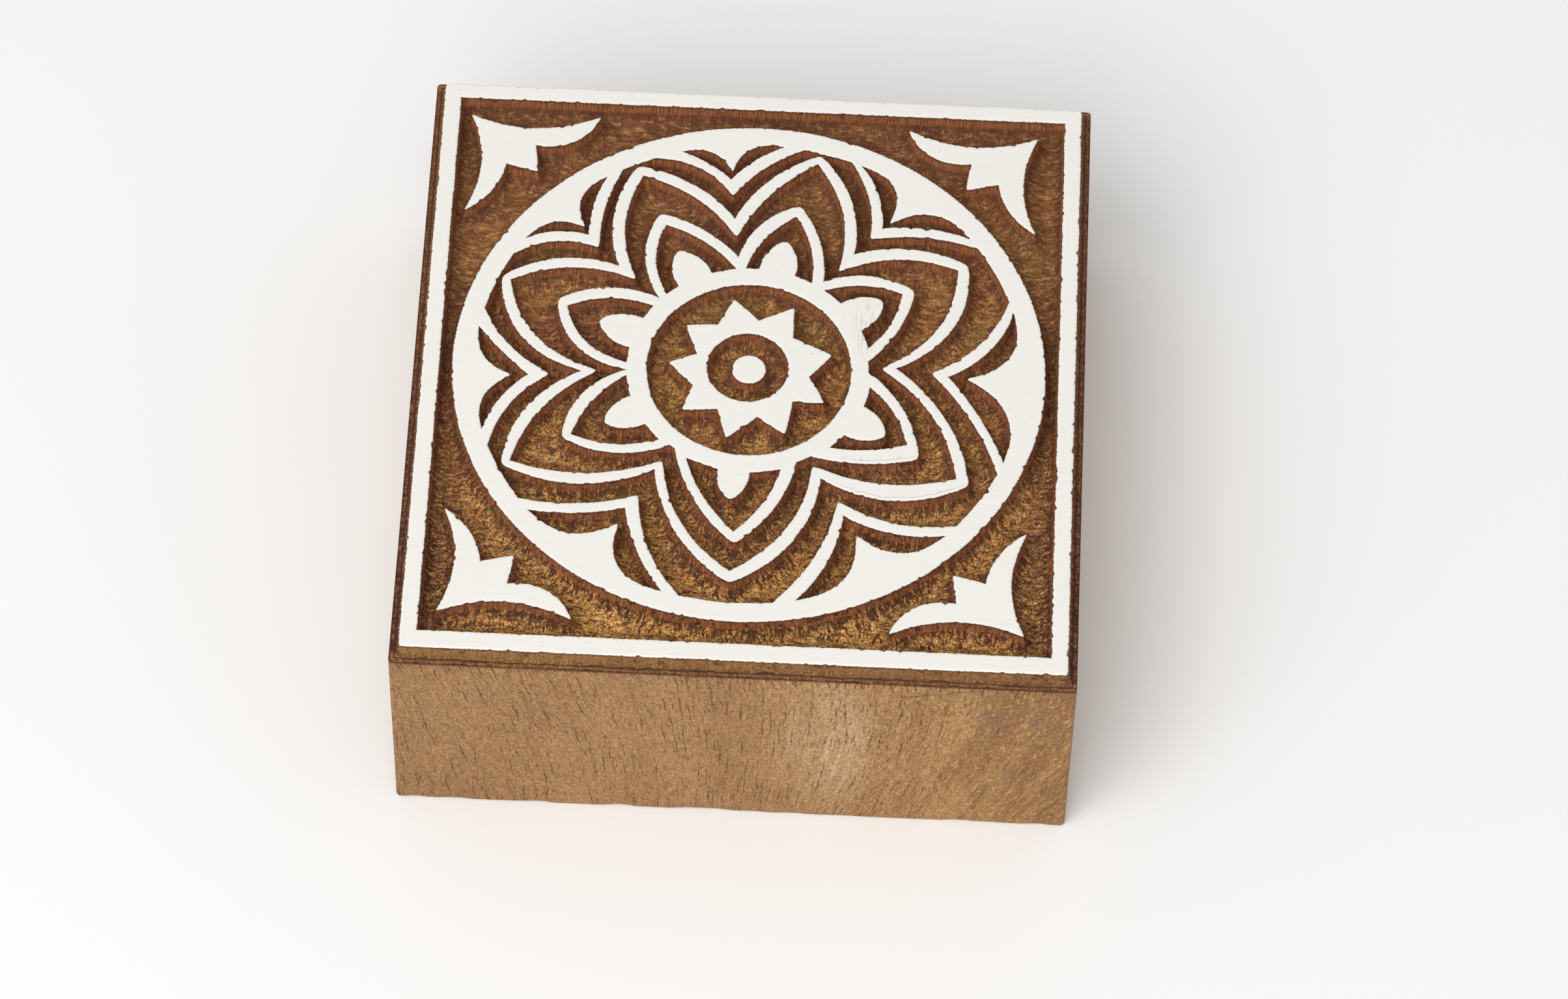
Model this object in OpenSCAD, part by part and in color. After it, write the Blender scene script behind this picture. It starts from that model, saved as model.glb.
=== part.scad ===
// Textile printing block: one block of hard timber with a flower roundel carved into its end grain, and the
// white coat that was laid on the face before carving and stays on every part of the relief.

/* [Block] */
// Width of the block, left to right
block_w = 76; // [72:0.5:100]
// Depth of the block, front to back
block_d = 78.8; // [74:0.1:100]
// Height of the timber, from its back face to the top of the relief
block_h = 31; // [18:0.5:50]

/* [Carving] */
// Depth of the carved ground below the relief
ground_depth = 2.6; // [1:0.1:5]
// Width of the step cut round the outside of the border
step_w = 1.2; // [0.6:0.1:2.5]
// Depth of that step below the relief
step_depth = 1.5; // [0.5:0.1:4]
// Thickness of the white coat on the relief
coat_t = 0.25; // [0.1:0.05:0.6]

/* [Border and corners] */
// Width of the border line
border_w = 1.8; // [1:0.1:2.6]
// How much wider that line is at the front
border_front_more = 0.3; // [0:0.1:0.8]
// Length of a corner leaf's arm along the front or back border
corner_arm_x = 15; // [11:0.1:18]
// Length of a corner leaf's arm along the left or right border
corner_arm_y = 13.5; // [11:0.1:18]
// Reach of a corner leaf's inner tooth from its outer corner, along each arm
corner_tooth = 7.9; // [6:0.1:8.5]
// Width of a corner leaf's arms where they leave its tooth
corner_arm_w = 4.2; // [3:0.1:5]

/* [Roundel] */
// Gap between the roundel and the nearest border lines
roundel_gap = 1.55; // [0.6:0.05:4]
// How far the roundel sits behind the middle of the block
roundel_y = 0.3; // [-0.5:0.1:0.5]
// Width of the outer ring
ring_w = 2.35; // [1.2:0.05:4]
// Thickness of the vee lines in their clefts
vee_line_w = 2.1; // [1.2:0.1:3]
// Width of the vee lines where they meet the ring
vee_foot_w = 1.8; // [1:0.1:2.2]
// Width of the petal line
petal_line_w = 1.3; // [0.8:0.05:1.8]
// Width of the inner petals' line
inner_line_w = 1.5; // [0.9:0.05:2]

/* [Hub and star] */
// Diameter of the hub over its rim
hub_d = 27.7; // [26:0.1:30]
// Diameter of the round ground inside the hub
hub_hole_d = 23.2; // [21:0.1:24.4]
// Length of the solid leaf inside each inner petal
leaf_len = 4.25; // [2.5:0.05:5]
// Width of that leaf at the hub
leaf_w = 4.35; // [2.5:0.05:6]
// Diameter of the star over its points
star_d = 19; // [16.5:0.1:19.2]
// Diameter of the star across its valleys
star_valley_d = 13.2; // [12:0.1:14.5]
// Diameter of the round ground inside the star
star_hole_d = 9.3; // [6:0.1:10]
// Diameter of the dot in the middle
dot_d = 3.7; // [2:0.1:5.5]

/* [Hidden] */
$fn = 96;
// Straight steps along each bowed side of the pattern, and along the ring between two vee lines
side_n = 8;
arc_n = 6;
// How far a cut runs past the face that it starts from
cut = 1;
timber = "#8a5f3c";
white = "#f0efe9";

// The pattern is cut by hand, so no two petals are alike. Each list runs counter-clockwise from the rear petal,
// and a cleft comes after the petal of the same number. Directions are in degrees from +X. A reach is how far a
// point lies over the field, from 0 at the hub's rim to 1 at the ring. A bow is a side's rise over its length.
// Petal line: direction, reach, thickness in line widths, and bow of the outer and of the inner edge up to the
// next row
petal_tips = [
    [77, 0.98, 0.9, 0.1, 0.08], [117, 0.98, 1.1, 0.12, 0.12], [158.5, 0.98, 0.8, 0.18, 0.16],
    [207.5, 0.97, 0.8, 0.13, 0.1], [268, 0.85, 1.2, 0.14, 0.13], [330.5, 0.88, 1.25, 0.1, 0.11],
    [392.5, 0.87, 1, 0.11, 0.12]
];
petal_clefts = [
    [97, 0.4, 1.95, 0.1, 0.1], [139, 0.38, 2.1, 0.13, 0.12], [183.5, 0.29, 1.4, 0.14, 0.11],
    [234.5, 0.19, 1.15, 0.11, 0.12], [301.5, 0.16, 1.45, 0.15, 0.1], [363.5, 0.16, 1.3, 0.17, 0.15],
    [415.5, 0.35, 2.35, 0.12, 0.12]
];
petals = len(petal_tips);
// Inner petals: direction, reach of the tips, and bow up to the next row; a cleft's reach is over the hub, from
// 0 at its hole to 1 at its rim
inner_tips = [
    [78, 0.55, 0.13], [118, 0.57, 0.14], [159, 0.57, 0.19], [206.5, 0.53, 0.13], [268.5, 0.55, 0.1],
    [330.5, 0.5, 0.11], [392.5, 0.46, 0.13]
];
inner_clefts = [
    [97, 1.7, 0.08], [139, 1.05, 0.13], [183, 0.95, 0.16], [232.5, 0.65, 0.09], [299, 0.4, 0.07],
    [364.5, 0.45, 0.09], [417.5, 1.4, 0.09]
];
// How far the hub's edge reaches over the hub between two inner petals
hub_edge = 0.85;
// Ground inside each inner petal: direction of its tip, line widths of timber beyond the tip, directions of its
// left and right ends on the hub, and bows of its left and right sides
cups = [
    [78, 1.05, 94, 61.5, 0.1, 0.09], [118, 1.15, 135, 98.5, 0.13, 0.08], [160, 0.9, 179, 144, 0.16, 0.11],
    [206.5, 0.75, 226, 186, 0.1, 0.09], [268, 1.05, 287.5, 242, 0.08, 0.07], [333, 1.4, 353, 313.5, 0.09, 0.06],
    [393.5, 0.95, 414.5, 375, 0.1, 0.09]
];
// Leaf that stands in each inner petal: direction, and shares of the leaves' length and width
leaves = [
    [79, 1.03, 0.96], [119, 1.03, 0.97], [161.5, 1.05, 0.98], [206.5, 0.96, 0.94], [265.5, 0.9, 0.82],
    [332.5, 0.93, 1.02], [394.5, 0.98, 1]
];
// Outer edges of the vee lines: direction and reach of the cleft, then for the right and the left arm the
// direction of the end on the ring and the bow
vees = [
    [97, 0.72, 85, 0.06, 107, 0.05], [137.5, 0.7, 124, 0.06, 147.5, 0.09], [184.5, 0.64, 172, 0.02, 198, 0.08],
    [236, 0.54, 220, 0.05, 254.5, 0.06], [301, 0.48, 282, 0.08, 317.5, 0.09],
    [360.5, 0.5, 339, 0.04, 377.5, 0.11], [414.5, 0.63, 398, 0.07, 428, 0.09]
];
// Their inner edges: direction of the cleft and the line's thickness there in line widths, then for the right
// and the left arm its width on the ring in foot widths and the bow
vee_inner = [
    [97, 1.1, 1.3, 0.08, 1.75, 0.14], [138.5, 1, 1.1, 0.06, 1.45, 0.14], [184.5, 1.15, 1.4, 0.09, 1.25, 0.11],
    [236.5, 1.05, 1, 0.07, 1.1, 0.09], [302, 0.9, 1.4, 0.08, 0.95, 0.1], [361.5, 0.9, 0.9, 0.06, 0.85, 0.11],
    [415, 0.95, 0.8, 0.07, 0.65, 0.09]
];
// Points of the spandrels above the vees: direction, reach, and bow of the left and of the right side
spandrels = [
    [96.5, 0.78, 0.23, 0.25], [136.5, 0.76, 0.22, 0.24], [184.5, 0.75, 0.21, 0.2], [237.5, 0.66, 0.27, 0.22],
    [301, 0.65, 0.24, 0.23], [360, 0.62, 0.26, 0.22], [414, 0.69, 0.28, 0.25]
];
// Bows of the other sides
leaf_bow = 0.13;
corner_back_bow = 0.12;
corner_long_bow = 0.19;
corner_short_bow = 0.11;
// Star: direction and share of the radius of each point, then of the valley after it
star_rows = [
    [14.5, 1.01, 43.5, 1], [61, 1.04, 83, 1.02], [102.5, 1.02, 122.5, 1.06], [142.5, 0.98, 163, 0.94],
    [177, 0.96, 201.5, 1.01], [218.5, 0.98, 239, 0.97], [257, 1.01, 281, 0.98], [297.5, 1.01, 321.5, 0.99],
    [335, 1.01, 354.5, 1.04]
];
// How far the middle of the star's hole lies off the roundel's
star_hole_shift = [-0.15, 0.25];
// How far each corner leaf's outer corner stands inside the border
rear_left_inset = [1.4, 2.4];
rear_right_inset = [3.05, 2.4];
front_left_inset = [1.95, 2.9];
front_right_inset = [3.05, 2.85];
// How far a corner leaf's long arm tip turns out, how much its tooth leans, and how far from the tooth its
// short arm starts
corner_curl = 0.4;
corner_lean = 0.25;
corner_notch = 1.2;

// Sizes that follow from the ones above
border_outer = [block_w - 2 * step_w, block_d - 2 * step_w];
border_inner = border_outer - 2 * [border_w, border_w];
ring_r = min(border_inner.x, border_inner.y) / 2 - roundel_gap;
field_r = ring_r - ring_w;
hub_r = hub_d / 2;
hub_hole_r = hub_hole_d / 2;
vee_foot_a = vee_foot_w / field_r * 180 / PI;

function polar(r, a) = r * [cos(a), sin(a)];
function over_field(reach) = hub_r + reach * (field_r - hub_r);
function over_hub(reach) = hub_hole_r + reach * (hub_r - hub_hole_r);

// Points along a bowed side from p towards q, which itself is left out; a positive bow rises to the right
function side(p, q, bow = 0) = let (m = (p + q) / 2 + 2 * bow * [q.y - p.y, p.x - q.x])
    [for (i = [0:side_n - 1]) let (t = i / side_n) (1 - t) ^ 2 * p + 2 * t * (1 - t) * m + t ^ 2 * q];

// Closed outline of bowed petals, from tips and clefts that each have a direction, a radius and a bow
function lobes(tips, clefts) = [for (i = [0:petals - 1])
    let (tip = tips[i], cleft = clefts[i], next = tips[(i + 1) % petals], low = polar(cleft[1], cleft[0]))
    each concat(side(polar(tip[1], tip[0]), low, tip[2]), side(low, polar(next[1], next[0]), cleft[2]))];

function petal_outer() = lobes([for (t = petal_tips) [t[0], over_field(t[1]), t[3]]],
                               [for (c = petal_clefts) [c[0], over_field(c[1]), c[3]]]);
function petal_inner() = lobes([for (t = petal_tips) [t[0], over_field(t[1]) - petal_line_w * t[2], t[4]]],
                               [for (c = petal_clefts) [c[0], over_field(c[1]) - petal_line_w * c[2], c[4]]]);
function flower_outer() = lobes([for (t = inner_tips) [t[0], over_field(t[1]), t[2]]],
                                [for (c = inner_clefts) [c[0], over_hub(c[1]), c[2]]]);

// Inner edge of the ring: along each vee line to its cleft and back, then along the ring to the next vee
function vee_start(i) = vees[i % petals][2] - vee_foot_a * vee_inner[i % petals][2] + (i < petals ? 0 : 360);
function ring_inner() = [for (i = [0:petals - 1])
    let (v = vees[i], n = vee_inner[i], low = polar(over_field(v[1]) - vee_line_w * n[1], n[0]),
         left = v[4] + vee_foot_a * n[4], span = vee_start(i + 1) - left)
    each concat(side(polar(field_r, vee_start(i)), low, n[3]), side(low, polar(field_r, left), n[5]),
                [for (k = [0:arc_n - 1]) polar(field_r, left + span * k / arc_n)])];

// Ground between a vee line and the spandrel that hangs from the ring above it
function chevron(i) =
    let (v = vees[i], s = spandrels[i], right = polar(field_r, v[2]), left = polar(field_r, v[4]),
         low = polar(over_field(v[1]), v[0]), point = polar(over_field(s[1]), s[0]))
    concat(side(right, low, v[3]), side(low, left, v[5]), side(left, point, -s[2]), side(point, right, -s[3]));

// Ground inside an inner petal, round the leaf that stands on the hub
function cup(i) =
    let (c = cups[i], tip = polar(over_field(inner_tips[i][1]) - inner_line_w * c[1], c[0]),
         left = polar(hub_r, c[2]), right = polar(hub_r, c[3]), leaf = leaves[i],
         leaf_a = asin(leaf_w * leaf[2] / hub_d), leaf_tip = polar(hub_r + leaf_len * leaf[1], leaf[0]),
         leaf_left = polar(hub_r, leaf[0] + leaf_a), leaf_right = polar(hub_r, leaf[0] - leaf_a))
    concat(side(tip, left, c[4]), [left], side(leaf_left, leaf_tip, -leaf_bow),
           side(leaf_tip, leaf_right, -leaf_bow), [leaf_right], side(right, tip, c[5]));

function star_outline() = [for (s = star_rows)
    each [polar(s[1] * star_d / 2, s[0]), polar(s[3] * star_valley_d / 2, s[2])]];

// Leaf of the rear right corner, with its outer corner at the origin and its arms along -X and -Y
function corner_leaf() =
    let (arm_x = [-corner_arm_x, corner_curl], arm_y = [0, -corner_arm_y],
         tooth = -[corner_tooth + corner_lean, corner_tooth - corner_lean],
         notch_x = [-corner_tooth + corner_lean, -corner_arm_w + corner_lean],
         notch_y = [-corner_arm_w - corner_lean, -corner_tooth + corner_notch])
    concat(side([0, 0], arm_x, -corner_back_bow), side(arm_x, notch_x, corner_long_bow), [notch_x, tooth],
           side(notch_y, arm_y, corner_short_bow), side(arm_y, [0, 0], -corner_back_bow));

// The relief in plan: every shape that prints
module inside_border() translate([0, border_front_more / 2])
    square(border_inner - [0, border_front_more], center = true);
module border_plan() difference() {
    square(border_outer, center = true);
    inside_border();
}
module corner_plan(way, inset)
    translate([way.x * (border_inner.x / 2 - inset.x), way.y * (border_inner.y / 2 - inset.y)])
        polygon([for (p = corner_leaf()) [way.x * p.x, way.y * p.y]]);
module rear_left_plan() corner_plan([-1, 1], rear_left_inset);
module rear_right_plan() corner_plan([1, 1], rear_right_inset);
module front_left_plan() corner_plan([-1, -1], front_left_inset);
module front_right_plan() corner_plan([1, -1], front_right_inset);
module on_roundel() translate([0, roundel_y]) children();
module ring_plan() on_roundel() difference() {
    circle(r = ring_r);
    polygon(ring_inner());
    for (i = [0:petals - 1]) polygon(chevron(i));
}
module petal_line_plan() on_roundel() difference() {
    polygon(petal_outer());
    polygon(petal_inner());
}
module flower_plan() on_roundel() difference() {
    union() {
        polygon(flower_outer());
        circle(r = over_hub(hub_edge));
    }
    circle(r = hub_hole_r);
    for (i = [0:petals - 1]) polygon(cup(i));
}
module star_plan() on_roundel() difference() {
    polygon(star_outline());
    translate(star_hole_shift) circle(d = star_hole_d);
}
module dot_plan() on_roundel() circle(d = dot_d);

// Ground that the carver takes away inside the border
module ground_plan() difference() {
    inside_border();
    rear_left_plan();
    rear_right_plan();
    front_left_plan();
    front_right_plan();
    ring_plan();
    petal_line_plan();
    flower_plan();
    star_plan();
    dot_plan();
}
// Low step outside the border
module step_plan() difference() {
    square([block_w + 2 * cut, block_d + 2 * cut], center = true);
    square(border_outer, center = true);
}
module sunk(depth) translate([0, 0, block_h - depth]) linear_extrude(depth + cut) children();

module carved_block() color(timber) difference() {
    translate([-block_w / 2, -block_d / 2, 0]) cube([block_w, block_d, block_h]);
    sunk(step_depth) step_plan();
    sunk(ground_depth) ground_plan();
}

// The coat on one part of the relief
module coat() color(white) translate([0, 0, block_h]) linear_extrude(coat_t) children();
module border_coat() coat() border_plan();
module rear_left_leaf_coat() coat() rear_left_plan();
module rear_right_leaf_coat() coat() rear_right_plan();
module front_left_leaf_coat() coat() front_left_plan();
module front_right_leaf_coat() coat() front_right_plan();
module ring_coat() coat() ring_plan();
module petal_line_coat() coat() petal_line_plan();
module flower_coat() coat() flower_plan();
module star_coat() coat() star_plan();
module centre_dot_coat() coat() dot_plan();

carved_block();
border_coat();
rear_left_leaf_coat();
rear_right_leaf_coat();
front_left_leaf_coat();
front_right_leaf_coat();
ring_coat();
petal_line_coat();
flower_coat();
star_coat();
centre_dot_coat();
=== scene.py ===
import math

import bmesh
import bpy
import numpy as np
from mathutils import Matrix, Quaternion, Vector, noise
from mathutils.bvhtree import BVHTree
from mathutils.geometry import delaunay_2d_cdt


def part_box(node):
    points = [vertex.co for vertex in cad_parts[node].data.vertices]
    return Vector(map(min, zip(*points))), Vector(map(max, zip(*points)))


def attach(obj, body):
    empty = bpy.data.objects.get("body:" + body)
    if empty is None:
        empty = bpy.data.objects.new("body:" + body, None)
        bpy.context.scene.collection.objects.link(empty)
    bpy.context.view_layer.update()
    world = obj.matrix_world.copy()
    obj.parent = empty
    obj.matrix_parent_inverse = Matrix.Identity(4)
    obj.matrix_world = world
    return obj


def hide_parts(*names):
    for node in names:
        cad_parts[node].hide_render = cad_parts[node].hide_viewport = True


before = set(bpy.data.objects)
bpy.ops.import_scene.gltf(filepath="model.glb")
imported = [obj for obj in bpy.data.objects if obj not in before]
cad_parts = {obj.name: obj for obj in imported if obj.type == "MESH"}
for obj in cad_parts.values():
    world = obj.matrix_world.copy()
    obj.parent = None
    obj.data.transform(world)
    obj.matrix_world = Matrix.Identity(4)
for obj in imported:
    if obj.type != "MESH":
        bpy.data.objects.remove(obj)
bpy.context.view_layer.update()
scene = bpy.context.scene
mm = 0.001  # sizes below are in millimetres, Blender's unit here is the metre
coatNodes = [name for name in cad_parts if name.endswith("_coat")]
blockLow, blockHigh = (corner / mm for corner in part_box("carved_block"))
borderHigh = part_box("border_coat")[1] / mm
timberTop = blockHigh.z  # top of the timber, which the coat lies on
levels = sorted({round(v.co.z / mm, 3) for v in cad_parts["carved_block"].data.vertices})
floorZ, stepZ = levels[1:3]  # heights of the carved floor and of the step round the block's top


def paint(hexColour):  # sRGB hex to the linear colour that a shader takes
    channels = [int(hexColour[i:i + 2], 16) / 255 for i in (1, 3, 5)]
    return [c / 12.92 if c <= 0.04045 else ((c + 0.055) / 1.055) ** 2.4 for c in channels] + [1.0]


def put(tree, kind, inputs=(), stops=None, **settings):  # adds one node, its inputs given in order or by key
    node = tree.nodes.new(kind if "Node" in kind else "ShaderNode" + kind)
    for name, value in settings.items():
        setattr(node, name, value)
    if stops:
        ramp = node.color_ramp
        while len(ramp.elements) < len(stops):
            ramp.elements.new(1.0)
        for element, (place, colour) in zip(ramp.elements, stops):
            element.position, element.color = place, paint(colour)
    for key, value in inputs.items() if isinstance(inputs, dict) else enumerate(inputs):
        if isinstance(value, bpy.types.Node):  # a node stands for its first output in use
            value = next(output for output in value.outputs if output.enabled)
        if isinstance(value, bpy.types.NodeSocket):
            tree.links.new(value, node.inputs[key])
        else:
            node.inputs[key].default_value = value
    return node


def addObject(name, data):
    obj = bpy.data.objects.new(name, data)
    scene.collection.objects.link(obj)
    return obj


# Cut lines: the carver's outlines, taken from the coats' edges
handCut = {
    "step": 0.2,          # point spacing along a line
    "cornerTurn": 24.0,   # a sharper turn than this stays a corner
    "fanTurn": 40.0,      # rows of points beside a line fan out round a sharper turn than this
    "wobble": 0.05,       # slow drift of the knife
    "wobbleLength": 2.8,
    "bite": 0.42,         # places where end grain broke away
    "biteLength": 0.6,
    "biteFrom": 0.18,     # noise below this leaves the edge whole
    "tooth": 0.085,       # fine saw-tooth edge that dry end grain gives
    "toothLength": 0.19,
    "creep": 0.05,        # paint drawn over the edge
    "tipReach": 5,        # points either side of a tip that its blunting takes in
    "cornerReach": 6,     # points over which the unevenness dies away at a corner
}
tipPasses = {"flower_coat": 8, "petal_line_coat": 6, "ring_coat": 4, "others": 2}  # smoothing at the tips


def coatLoops(nodeName):  # closed loops round a coat's top, with the coat on the left, in mm
    bm = bmesh.new()
    bm.from_mesh(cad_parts[nodeName].data)
    bmesh.ops.remove_doubles(bm, verts=bm.verts, dist=1e-6)
    bm.normal_update()
    after = {}
    for face in bm.faces:
        for corner in face.loops if face.normal.z > 0.9 else []:
            if not any(other.normal.z > 0.9 for other in corner.edge.link_faces if other != face):
                after[corner.vert] = corner.link_loop_next.vert
    loops = []
    while after:
        start, vert = after.popitem()
        loop = [start]
        while vert != start:
            loop.append(vert)
            vert = after.pop(vert)
        loops.append(np.array([[v.co.x / mm, v.co.y / mm] for v in loop]))
    bm.free()
    return loops


def smoothRun(run, isRound):  # evenly spaced points on a smooth curve through a run, its last point left out
    lengths = np.linalg.norm(np.diff(run, axis=0), axis=1)
    along = np.r_[0, np.cumsum(lengths)]
    steps = np.diff(run, axis=0) / lengths[:, None]
    slope = np.vstack([steps[:1], steps])
    slope[1:-1] = (run[2:] - run[:-2]) / (along[2:] - along[:-2])[:, None]
    if isRound:
        slope[0] = slope[-1] = (run[1] - run[-2]) / (lengths[0] + lengths[-1])
    elif len(run) > 2:
        slope[0], slope[-1] = 2 * steps[0] - slope[1], 2 * steps[-1] - slope[-2]
    spots = np.linspace(0, along[-1], max(2, round(along[-1] / handCut["step"])), endpoint=False)
    k = np.clip(np.searchsorted(along, spots, "right") - 1, 0, len(lengths) - 1)
    span = lengths[k][:, None]
    t = (spots[:, None] - along[k][:, None]) / span
    return ((1 + 2 * t) * (1 - t) ** 2 * run[k] + t * (1 - t) ** 2 * span * slope[k]
            + t ** 2 * (3 - 2 * t) * run[k + 1] + t ** 2 * (t - 1) * span * slope[k + 1])


def sideways(line):  # unit normals to the right of a closed line, before and after each point
    ahead = np.roll(line, -1, 0) - line
    ahead /= np.linalg.norm(ahead, axis=1)[:, None]
    after = np.stack([ahead[:, 1], -ahead[:, 0]], 1)
    return np.roll(after, 1, 0), after


def middleNormal(line):  # normals midway between both sides of each point
    before, after = sideways(line)
    both = before + after
    return both / np.maximum(np.linalg.norm(both, axis=1), 0.2)[:, None]


def turnAngle(before, after):  # signed angle between rows of directions, left turns positive
    return np.arctan2(before[:, 0] * after[:, 1] - before[:, 1] * after[:, 0], (before * after).sum(1))


def handCutLine(loop, passes):  # a loop as the knife leaves it: smooth runs, blunt tips, then a little uneven
    ahead = np.roll(loop, -1, 0) - loop
    turn = turnAngle(np.roll(ahead, 1, 0), ahead)
    sharp = list(np.flatnonzero(abs(np.degrees(turn)) > handCut["cornerTurn"]))
    calm = 1.0
    if not sharp:
        line = smoothRun(np.vstack([loop, loop[:1]]), True)
    else:
        ends = sharp[1:] + [sharp[0] + len(loop)]
        runs = [smoothRun(loop[np.arange(a, b + 1) % len(loop)], False) for a, b in zip(sharp, ends)]
        line = np.vstack(runs)
        count = len(line)
        corners = np.cumsum([0] + [len(run) for run in runs[:-1]])
        away = abs((np.arange(count)[:, None] - corners + count / 2) % count - count / 2).min(1)
        calm = np.minimum(1, (away + 1) / handCut["cornerReach"])
        reach = np.arange(-handCut["tipReach"], handCut["tipReach"] + 1)
        soft = np.unique((corners[turn[sharp] > 0][:, None] + reach) % count)
        for _ in range(passes):
            line[soft] = (np.roll(line, 1, 0) + 2 * line + np.roll(line, -1, 0))[soft] / 4
    drift = []
    for x, y in line:
        wobble = noise.noise(Vector((x, y, 3.1)) / handCut["wobbleLength"])
        bite = max(0, noise.noise(Vector((x, y, 7.7)) / handCut["biteLength"]) - handCut["biteFrom"])
        tooth = noise.noise(Vector((x, y, 1.3)) / handCut["toothLength"])
        uneven = handCut["creep"] + handCut["wobble"] * wobble - handCut["bite"] * bite
        drift.append(uneven + handCut["tooth"] * tooth)
    return line + middleNormal(line) * (np.array(drift) * calm)[:, None]


def ribbonTree(lines):  # upright ribbons on the cut lines, to measure how far a point stands from the nearest
    verts, quads = [], []
    for line in lines:
        first, count = len(verts), len(line)
        verts += [(x, y, z) for z in (-1, 1) for x, y in line]
        quads += [(first + i, first + (i + 1) % count, first + count + (i + 1) % count, first + count + i)
                  for i in range(count)]
    return BVHTree.FromPolygons(verts, quads)


def alongRibbons(lines):  # where each ribbon starts, and its place along all the lines
    steps = np.vstack([np.roll(line, -1, 0) - line for line in lines])
    lengths = np.linalg.norm(steps, axis=1)
    return np.vstack(lines), np.cumsum(lengths) - lengths


def gapTo(tree, points):
    return np.array([tree.find_nearest((x, y, 0))[3] for x, y in points])


def rowBeside(line, gap, hand, every):  # points a gap off a line, to its right or left, fanned round corners
    before, after = sideways(line)
    points = [(line + hand * gap * middleNormal(line))[::every]]
    turn = turnAngle(before, after) * hand
    least = math.radians(handCut["fanTurn"])
    for i in np.flatnonzero(turn > least):
        share = np.linspace(0, 1, 2 + int(turn[i] / least))[:, None]
        fan = before[i] * (1 - share) + after[i] * share
        points.append(line[i] + hand * gap * fan / np.linalg.norm(fan, axis=1)[:, None])
    return np.vstack(points)


def scatter(low, high, spacing, seed, shake=0.35):  # a grid of points, shaken by a share of its spacing
    random = np.random.default_rng(seed)
    across = np.arange(low[0] + spacing / 2, high[0], spacing)
    up = np.arange(low[1] + spacing / 2, high[1], spacing)
    grid = np.stack(np.meshgrid(across, up), -1).reshape(-1, 2)
    return grid + random.uniform(-shake, shake, grid.shape) * spacing


def turnsLeft(line):  # whether a closed line runs counter-clockwise
    after = np.roll(line, -1, 0)
    return (line[:, 0] * after[:, 1] - line[:, 1] * after[:, 0]).sum() > 0


def triangulate(points, outlines):  # flat triangles, each with the outlines that hold it
    spots = [Vector(p) for p in points]
    coords, _, triangles, _, _, owners = delaunay_2d_cdt(spots, [], outlines, 1, 1e-6, True)
    return np.array([list(c) for c in coords]), [(t, len(o)) for t, o in zip(triangles, owners)]


def flatSheet(outlines, others, tree, rows, hand, fill, clear):  # triangles, finer beside the outlines
    picked = []
    for gap, every in rows:
        row = np.vstack([rowBeside(line, gap, hand, every) for line in outlines])
        picked.append(row[gapTo(tree, row) > 0.9 * gap])  # a point nearer to another line is left out
    picked.append(fill[gapTo(tree, fill) > clear])
    lines = others + outlines
    starts = np.cumsum([0] + [len(line) for line in lines])
    faces = []
    for line, first, end in zip(lines, starts, starts[1:]):
        faces.append(list(range(first, end))[::1 if turnsLeft(line) else -1])
    return triangulate(np.vstack(lines + picked), faces)


cutLines = {}
for name in coatNodes:
    passes = tipPasses.get(name, tipPasses["others"])
    cutLines[name] = [handCutLine(loop, passes) for loop in coatLoops(name)]
allLines = [line for lines in cutLines.values() for line in lines]
cutTree = ribbonTree(allLines)
print("cut lines:", len(allLines), "points:", sum(map(len, allLines)))


# The timber block: carved top, sawn sides and back, in one closed mesh
timber = {
    "rows": [(0.05, 1), (0.13, 1), (0.24, 2), (0.42, 2), (0.75, 3)],  # gap from a cut line, every nth point
    "wallGaps": [0.0, 0.05, 0.13, 0.24, 0.42, 0.75, 1.5, 2.5],    # how the timber goes down beside a cut line
    "wallShares": [0.0, 0.2, 0.34, 0.43, 0.53, 0.68, 0.86, 1.0],  # steep wall, floor deeper where wide
    "ledgeShares": [0.0, 0.34, 0.7, 0.89, 0.97, 1.0, 1.0, 1.0],   # outside the border
    "fillSpacing": 0.5,    # points scattered over the floor
    "fillClear": 1.0,      # how far they keep from a cut line
    "rimClear": 0.5,       # and from the block's sides
    "rimStep": 0.5,        # point spacing round the block's sides
    "cornerRadius": 0.5,
    "arris": 0.1,          # rounding along the top edge of the sides
    "arrisDrop": 0.12,     # and how far down it goes
    "sideTop": 0.7,        # the rows of the sides start this far under the step
    "sideFoot": 0.5,       # and end at this height
    "sideRows": 28,
    "foot": [(0.15, 0.1), (0.0, 0.32)],  # height and inset of the two rows that round the foot
    "sideHollow": 0.06,    # slow unevenness of the sawn sides
    "sideHollowLength": 15.0,
    "footWear": 0.35,      # chips along the bottom edges
    "footWearLength": 3.2,
    "footWearHeight": 1.1,
    "backSpacing": 3.0,
    "backClear": 2.0,
    "seed": 11,
    "sliver": 0.002,       # a triangle lower than this is flat
    "offTop": 9.0,         # gap given to points that aren't on the carved top
}


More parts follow.
